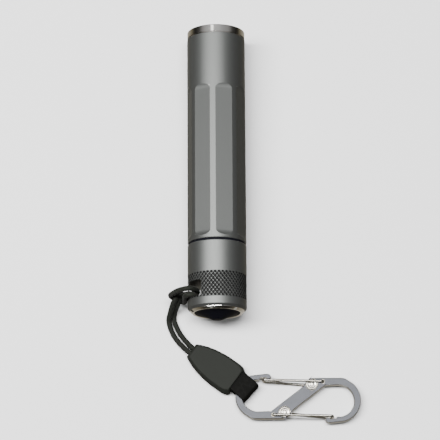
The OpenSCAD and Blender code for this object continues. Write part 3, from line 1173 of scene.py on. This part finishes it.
class Torch:
    """The torch's own pieces: barrel, head, tail cap and button."""

    def build(self) -> None:
        """Makes every piece of the torch and dresses the CAD nodes that stay."""
        fasten(Barrel().build(), Finish.ANODISED, Body.BARREL, "anodised", "barrel")
        fasten(TailCap().build(), Finish.KNURLED, Body.TAIL, "anodised", "tail_cap")
        self.head()
        self.rear()
        self.inside()

    def head(self) -> None:
        """Makes the bezel ring, lens, reflector and joint seal."""
        big, back, front = Fit.of("bezel_ring").in_mm
        neck, seat, gap, groove = 6.77, front - 1.95, 0.25, 0.4
        bezel = [(6.4, back), (neck, back), (neck, seat), (big - groove, seat), (big - groove, seat + gap),
                 (big, seat + gap), (big, front - 0.14), (big - 0.03, front - 0.06), (big - 0.1, front),
                 (6.15, front), (6.0, front - 0.05), (5.9, front - 0.25), (5.9, front - 0.7),
                 (6.4, front - 0.7)]
        self.ring("bezel", bezel, Finish.POLISHED, Body.BARREL, "polished_steel", "bezel_ring")
        wide, low, high = Fit.of("front_lens").in_mm
        axis, soft = 0.01, 0.12
        glass = [(axis, low), (wide - soft, low), (wide, low + soft), (wide, high - soft),
                 (wide - soft, high), (axis, high)]
        self.ring("lens", glass, Finish.GLASS, Body.BARREL, "lens_glass", "front_lens", 128)
        wide, low, high = Fit.of("reflector").in_mm
        rim, hole, flange, deep = 5.7, 2.6, 0.7, high - low
        slope = (rim**2 - hole**2) / deep
        bowl = [(math.sqrt(hole**2 + slope * t), low + t) for t in np.linspace(0, deep, 28)]
        outer = [(wide, high), (wide, high - flange), (rim, high - flange), (4.2, low + 0.6), (4.2, low)]
        self.ring("reflector_dish", bowl + outer, Finish.MIRROR, Body.BARREL, "mirror", "reflector", 128)
        self.seal("joint_ring", Fit.of("body_seal"), 6.2 * MM, "body_seal")

    @staticmethod
    def ring(
        name: str, profile: Profile, finish: Finish, body: Body, slot: str, node: str, columns: int = 160,
    ) -> bpy.types.Object:
        """Turns, dresses and places one piece.

        Args:
            name: The piece's name.
            profile: Its closed outline, as pairs of radius and place in millimetres.
            finish: Its finish.
            body: The body that it rides on.
            slot: Not used; it is passed on to fasten, which ignores it.
            node: The CAD node that it stands for.
            columns: Points round the axis.

        Returns:
            The piece.
        """
        return fasten(Shape.turned(name, metres(profile), columns), finish, body, slot, node)

    def seal(self, name: str, fit: Fit, inner: float, node: str) -> None:
        """A rubber ring with a rounded section.

        Args:
            name: The piece's name.
            fit: The CAD node's fit.
            inner: The ring's inner radius.
            node: The CAD node.
        """
        middle_y, middle_r = fit.middle.y, (fit.radius + inner) / 2
        half_y, half_r = (fit.high.y - fit.low.y) / 2, (fit.radius - inner) / 2
        section = []
        for a in np.linspace(0, 2 * math.pi, 20, endpoint=False):
            c, s = math.cos(a), math.sin(a)
            section.append((middle_r + half_r * math.copysign(abs(c) ** 0.6, c),
                            middle_y + half_y * math.copysign(abs(s) ** 0.6, s)))
        fasten(Shape.turned(name, section, 160), Finish.RUBBER, Body.BARREL, "black_rubber", node)

    def rear(self) -> None:
        """Makes the polished tail ring and the rubber boot."""
        _, y, _ = Fit.of("tail_ring").in_mm
        ring = [(5.0, y + 0.5), (5.12, y + 0.42), (5.72, y + 0.06), (5.76, y + 0.02), (5.84, y), (6.04, y),
                (6.12, y + 0.03), (6.6, y + 0.45), (6.68, y + 0.52), (6.68, y + 0.58), (6.07, y + 0.58),
                (6.07, y + 2.3), (5.6, y + 2.3), (5.6, y + 0.7), (5.0, y + 0.7)]
        self.ring("tail_bezel", ring, Finish.POLISHED, Body.TAIL, "polished_steel", "tail_ring")
        axis = 0.01
        _, y, _ = Fit.of("button_boot").in_mm
        cone = [(axis, y), (1.0, y), (1.28, y + 0.05), (1.45, y + 0.13)]
        cone += [(1.6 + 2.9 * t, y + 0.2 + 1.2 * t) for t in np.linspace(0, 1, 14)]
        cone += [(5.0, y + 1.57), (5.5, y + 1.62), (5.6, y + 1.64), (5.58, y + 1.67), (5.1, y + 1.93),
                 (4.92, y + 2.02), (4.9, y + 2.25), (5.45, y + 2.3), (5.45, y + 2.7), (3.35, y + 2.7),
                 (3.35, y + 1.45), (axis, y + 1.45)]
        made = Shape.turned("rubber_boot", metres(cone), 128)
        dress(made, Finish.RUBBER)
        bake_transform(made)
        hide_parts("button_boot")
        LOG.info("rubber_boot bends between tail and button")

    def inside(self) -> None:
        """Dresses the CAD nodes that stay as they are."""
        finishes = {
            Finish.RUBBER: ["lens_seal"],
            Finish.LED: ["led_emitter"],
            Finish.INSULATION: ["led_wires"],
            Finish.WHITE_PLASTIC: ["led_isolator", "cell_gasket"],
            Finish.MASK_WHITE: ["led_board"],
            Finish.BRASS: ["light_engine_pill", "switch_retainer", "cord_crimp"],
            Finish.MASK_GREEN: ["driver_board", "switch_board"],
            Finish.GOLD: ["front_contact", "tail_spring"],
            Finish.BLACK_PLASTIC: ["driver_parts", "contact_insulator", "switch_housing", "switch_stem"],
            Finish.CELL_STEEL: ["cell_can", "cell_nub", "tact_switch"],
            Finish.SLEEVE: ["cell_sleeve"],
            Finish.IVORY_PLASTIC: ["switch_plunger"],
            Finish.WIRE: ["gate_pins"],
        }
        for finish, nodes in finishes.items():
            for node in nodes:
                dress(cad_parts[node], finish)
                LOG.info("%s stays as the CAD has it", node)


# ---------------------------------------------------------------- lanyard


@dataclass
class Lanyard:
    """The braided cord, the moulded tag and the folded webbing. Lengths without MM are in millimetres."""

    cord_r: float = 0.65 * MM
    cord_z: float = 1.3
    cord_bend: float = 1.6
    strands: int = 8
    braid_pitch: float = 2.6 * MM
    tag_at: Point = (-6.45, -43.33, 0.0)
    tag_turn: float = -36.5
    tag_len: float = 13.9
    webbing_at: Point = (5.09, -51.5, 0.0)
    webbing_turn: float = -42.1
    webbing_w: float = 5.5
    webbing_t: float = 0.54
    webbing_step: float = 0.09
    weft_pitch: float = 0.42
    rib_pitch: float = 0.5
    route: tuple[Point, ...] = (
        (-2.8, -45.2, 1.3), (-4.4, -44, 1.3), (-6.1, -42.8, 1.3), (-7.7, -41.1, 0.8), (-9.2, -39.1, 0.7),
        (-10.3, -36.9, 0.7), (-10.7, -35.44, 0.7), (-10.5, -33.73, 1.3), (-9.9, -32.55, 2.9),
        (-9.3, -31.15, 4), (-8.3, -29.95, 3.9), (-7.3, -29.45, 3), (-6.4, -29.35, 2.6), (-5.6, -29.35, 3.1),
        (-5.1, -29.65, 4.3), (-4.9, -29.75, 6.3), (-5, -29.85, 8.5), (-5.7, -29.95, 10.2),
        (-6.6, -29.95, 11.1), (-7.8, -30.05, 11.1), (-9.4, -30.15, 9.8), (-10.7, -30.25, 7.6),
        (-11.5, -30.35, 5.2), (-10.7, -30.65, 3.1), (-9.4, -31.15, 2.2), (-8.2, -31.55, 3.1),
        (-7.9, -31.65, 5.4), (-7.9, -31.65, 7.9), (-7.7, -31.55, 9.7), (-6.8, -31.45, 10.6),
        (-5.8, -31.45, 10.2), (-5.2, -31.45, 8.7), (-5.1, -31.35, 6.2), (-5.5, -31.05, 3.8),
        (-6.4, -30.75, 2.1), (-7.5, -30.15, 1.6), (-8.5, -29.45, 2.2), (-9.3, -29.25, 3.3),
        (-9.8, -29.75, 4.5), (-10.2, -31.05, 5), (-11, -32.38, 4.1), (-11.7, -34.36, 2.4), (-12, -35.8, 1.2),
        (-11.5, -37.9, 0.7), (-10.4, -40.1, 0.7), (-8.7, -42.2, 0.8), (-6.9, -43.9, 1.3), (-5.2, -45.1, 1.3),
        (-3.6, -46.3, 1.3))

    def build(self) -> None:
        """Makes the three soft pieces."""
        tag = self.tag()
        self.cord(tag)
        self.webbing()

    @staticmethod
    def laid(at: Point, turn: float) -> Matrix:
        """The move that lays a piece, drawn along X in millimetres, at a point and heading."""
        return Matrix.Scale(MM, 4) @ Matrix.Translation(at) @ Matrix.Rotation(math.radians(turn), 4, "Z")

    def cord(self, tag: bpy.types.Object) -> None:
        """Makes the cord along its route, with its braid in relief.

        Args:
            tag: The tag that holds the cord's ends; not used.
        """
        path = Shape.curved([[MM * c for c in p] for p in self.route], 0.14 * MM)
        run = np.concatenate([[0], np.cumsum(np.linalg.norm(np.diff(path, axis=0), axis=1))])
        angle = np.linspace(0, 2 * math.pi, 28, endpoint=False)

        def section(i: int, _: np.ndarray) -> np.ndarray:
            """The braid's section at one ring of the cord.

            Args:
                i: The ring's number.
                _: The cord's path, which the braid doesn't need.

            Returns:
                The section's points.
            """
            phase = 2 * math.pi * run[i] / self.braid_pitch
            left = np.cos(self.strands / 2 * angle + phase * 2)
            right = np.cos(self.strands / 2 * angle - phase * 2)
            r = self.cord_r * (0.955 + 0.045 * np.maximum(left, right))
            return np.stack([r * np.cos(angle), r * np.sin(angle)], 1)

        cord = Shape.swept("braided_cord", path, section, sharp=75)
        dress(cord, Finish.CORD)
        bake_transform(cord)
        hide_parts("lanyard_cord")
        LOG.info("braided_cord bends between tail and tag, %.1f mm long", run[-1] / MM)

    def tag(self) -> bpy.types.Object:
        """Makes the moulded tag, with bevelled upper edges and soft corners.

        Returns:
            The tag's object.
        """
        widest, last = 4.15, (self.tag_len, 3.35)
        widths = [(0, 1.85), (0.3, 2.1), (2.5, 3.05), (5, 3.7), (7.5, 4.05), (10, widest), (12.6, 4.05), last]
        half = Shape.curved([(s, w, 0) for s, w in widths], 0.28)[:, :2]
        half[-1] = last
        rim = np.concatenate([half, half[::-1] * (1, -1)])
        centre = np.array([self.tag_len / 2, 0])

        def level(z: float, inset: float, slope: float = 0.0) -> np.ndarray:
            """One outline of the tag, drawn in by an inset and raised along its slope.

            Args:
                z: Its height at the cord's end.
                inset: How far it is drawn in.
                slope: How much higher it is at the webbing's end.

            Returns:
                The outline's points.
            """
            out = rim - centre
            size = np.array([self.tag_len / 2, widest])
            out = out * (1 - inset / size) + centre
            return np.column_stack([out, z + slope * out[:, 0] / self.tag_len])

        steps = [(0.0, 0.45), (0.08, 0.2), (0.3, 0.03), (0.45, 0.0), (1.35, 0.0, 0.35), (1.46, 0.04, 0.35),
                 (2.4, 0.5, 0.66), (2.53, 0.6, 0.7), (2.59, 0.72, 0.7), (2.6, 0.9, 0.7), (2.6, 2.4, 0.7)]
        levels = [level(*step) for step in steps]
        faces = Shape.tube_faces(len(levels), len(rim))
        tag = Shape.mesh("moulded_tag", np.concatenate(levels), faces, 28)
        tag.data.transform(self.laid(self.tag_at, self.tag_turn))
        return fasten(tag, Finish.TAG_RUBBER, Body.TAG, "tag_rubber", "tag_sleeve")

    def webbing(self) -> None:
        """Makes the webbing: one strap that runs out of the tag, round the clip and back."""
        low, high, end = 0.475, 2.725, 4.12
        turn = [(end - 0.75 + 0.75 * math.cos(a), 0, (high if a > 0 else low) - math.copysign(0.75, a)
                 + 0.75 * math.sin(a)) for a in np.radians([80, 55, 30, 8, -8, -30, -55, -80])]
        route = [(-4.2, 0, 1.88), (-2.4, 0, 1.9), (-1.2, 0, 2.3), (-0.3, 0, 2.66), (0.8, 0, high),
                 (2.4, 0, high), *turn, (2.4, 0, low), (0.8, 0, low), (-0.3, 0, 0.54), (-1.2, 0, 0.9),
                 (-2.4, 0, 1.3), (-4.2, 0, 1.32)]
        path = Shape.curved(route, self.webbing_step)
        run = np.arange(len(path)) * self.webbing_step
        across = np.linspace(-1, 1, 41)
        half_w, half_t = self.webbing_w / 2, self.webbing_t / 2

        def section(i: int, _: np.ndarray) -> np.ndarray:
            """The strap's section at one row: ribs along it, crossed by the weft.

            Args:
                i: The row's number.
                _: The strap's path, which its weave doesn't need.

            Returns:
                The section's points.
            """
            weft = math.cos(2 * math.pi * run[i] / self.weft_pitch)
            warp = np.cos(across * half_w * 2 * math.pi / self.rib_pitch)
            relief = 0.028 * (warp * weft) + 0.012 * warp
            edge = np.sqrt(np.clip(1 - np.abs(across) ** 14, 0, 1))
            top = np.stack([(half_t + relief) * edge, across * half_w], 1)
            under = np.stack([-(half_t + relief) * edge, across * half_w], 1)[::-1]
            return np.concatenate([top, under[1:-1]])

        strap = Shape.swept("folded_webbing", path, section, first_side=(0, 0, 1), sharp=70)
        pivot = self.laid(self.webbing_at, self.webbing_turn)
        strap.data.transform(pivot)
        dress(strap, Finish.WEBBING)
        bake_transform(strap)
        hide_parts("webbing_loop")
        LOG.info("folded_webbing bends between tag and clip")


# ---------------------------------------------------------------- clip


@dataclass
class Clip:
    """The double-gate clip: its plate, eyelets and wire gates, in millimetres but for its middle."""

    middle: Point = field(default_factory=lambda: tuple(Fit.of("clip_frame").middle))
    pivot: tuple[float, float] = (6.1, 4.1)
    tip: tuple[float, float] = (-8.45, 4.5)
    back_end: tuple[float, float] = (2.6, 3.52)
    eyelet: tuple[float, float] = (3.35, 3.45)
    wire_r: float = 0.33

    def build(self) -> None:
        """Makes the plate, the eyelets and the gates."""
        plate = Shape.chamfered_copy("clip_plate", "clip_frame", 0.16 * MM)
        fasten(plate, Finish.PLATE, Body.CLIP, "clip_steel", "clip_frame")
        fasten(self.eyelets(), Finish.WIRE, Body.CLIP, "gate_wire", "gate_eyelets")
        fasten(self.gate("wire_gate_upper", 0), Finish.WIRE, Body.UPPER_GATE, "gate_wire", "gate_upper")
        fasten(self.gate("wire_gate_lower", 180), Finish.WIRE, Body.LOWER_GATE, "gate_wire", "gate_lower")

    def placed(self, turn: float) -> Matrix:
        """The move from the clip's own millimetres to the frame, at a turn about its middle."""
        at = Matrix.Translation((self.middle[0], self.middle[1], 0))
        return at @ Matrix.Rotation(math.radians(turn), 4, "Z") @ Matrix.Scale(MM, 4)

    def gate(self, name: str, turn: float) -> bpy.types.Object:
        """One wire gate, bent from a single wire.

        Args:
            name: The piece's name.
            turn: The clip's half turn that it belongs to, in degrees.

        Returns:
            The gate's object.
        """
        plate = Fit.of("clip_frame")
        front = plate.high.z / MM + 0.03 + self.wire_r
        back = plate.low.z / MM - 0.03 - self.wire_r
        (px, py), (tx, ty), (bx, by) = self.pivot, self.tip, self.back_end
        reach = (front - back) / 2
        bend = [(tx + 0.55 - 0.55 * math.sin(a) ** 0.7, ty, (front + back) / 2 + reach * math.cos(a))
                for a in np.linspace(0.15, math.pi - 0.15, 9)]
        wire = [(px, py, plate.middle.z / MM), (px, py, front - 0.55), (px - 0.08, py, front - 0.18),
                (px - 0.4, py + 0.01, front), (px - 1.2, py + 0.03, front),
                ((px + tx) / 2, (py + ty) / 2, front), (tx + 1.6, ty - 0.04, front), *bend,
                (tx + 1.6, ty - 0.07, back), ((bx + tx) / 2, (by + ty) / 2, back),
                (bx - 0.8, by + 0.05, back), (bx, by, back)]
        round_wire = Shape.round_section(self.wire_r, 20)
        made = Shape.swept(name, Shape.curved(wire, 0.12), round_wire, (1, 0.2, 0.1))
        made.data.transform(self.placed(turn))
        return made

    def eyelets(self) -> bpy.types.Object:
        """The two eyelets, each a rolled rim round a dimple.

        Returns:
            The eyelets' object.
        """
        fit = Fit.of("gate_eyelets")
        low, top = fit.low.z / MM, fit.high.z / MM
        profile = [(0.36, low), (0.61, low), (0.61, top - 0.26), (1.3, top - 0.26), (1.33, top - 0.12),
                   (1.27, top - 0.03), (1.15, top), (1.0, top - 0.02), (0.86, top - 0.09), (0.7, top - 0.12),
                   (0.52, top - 0.1), (0.4, top - 0.03), (0.36, top - 0.08)]
        columns = 48
        x, y = self.eyelet
        points, faces = [], []
        for turn in (0, 180):
            place = self.placed(turn)
            offset = len(points)
            points += [place @ Vector((x + r * math.cos(a), y + r * math.sin(a), z))
                       for r, z in profile for a in np.linspace(0, 2 * math.pi, columns, endpoint=False)]
            grid = Shape.grid_faces(len(profile), columns, True, True)
            faces += [tuple(offset + k for k in f) for f in grid]
        return Shape.mesh("eyelet_pair", np.array(points), faces, 50)


def main() -> None:
    """Builds the flashlight, one sub-assembly after another."""
    logging.basicConfig(level=logging.INFO, format="%(name)s: %(message)s")
    Studio().build()
    Lanyard().build()
    Torch().build()
    Clip().build()


if __name__ == "__main__":
    main()
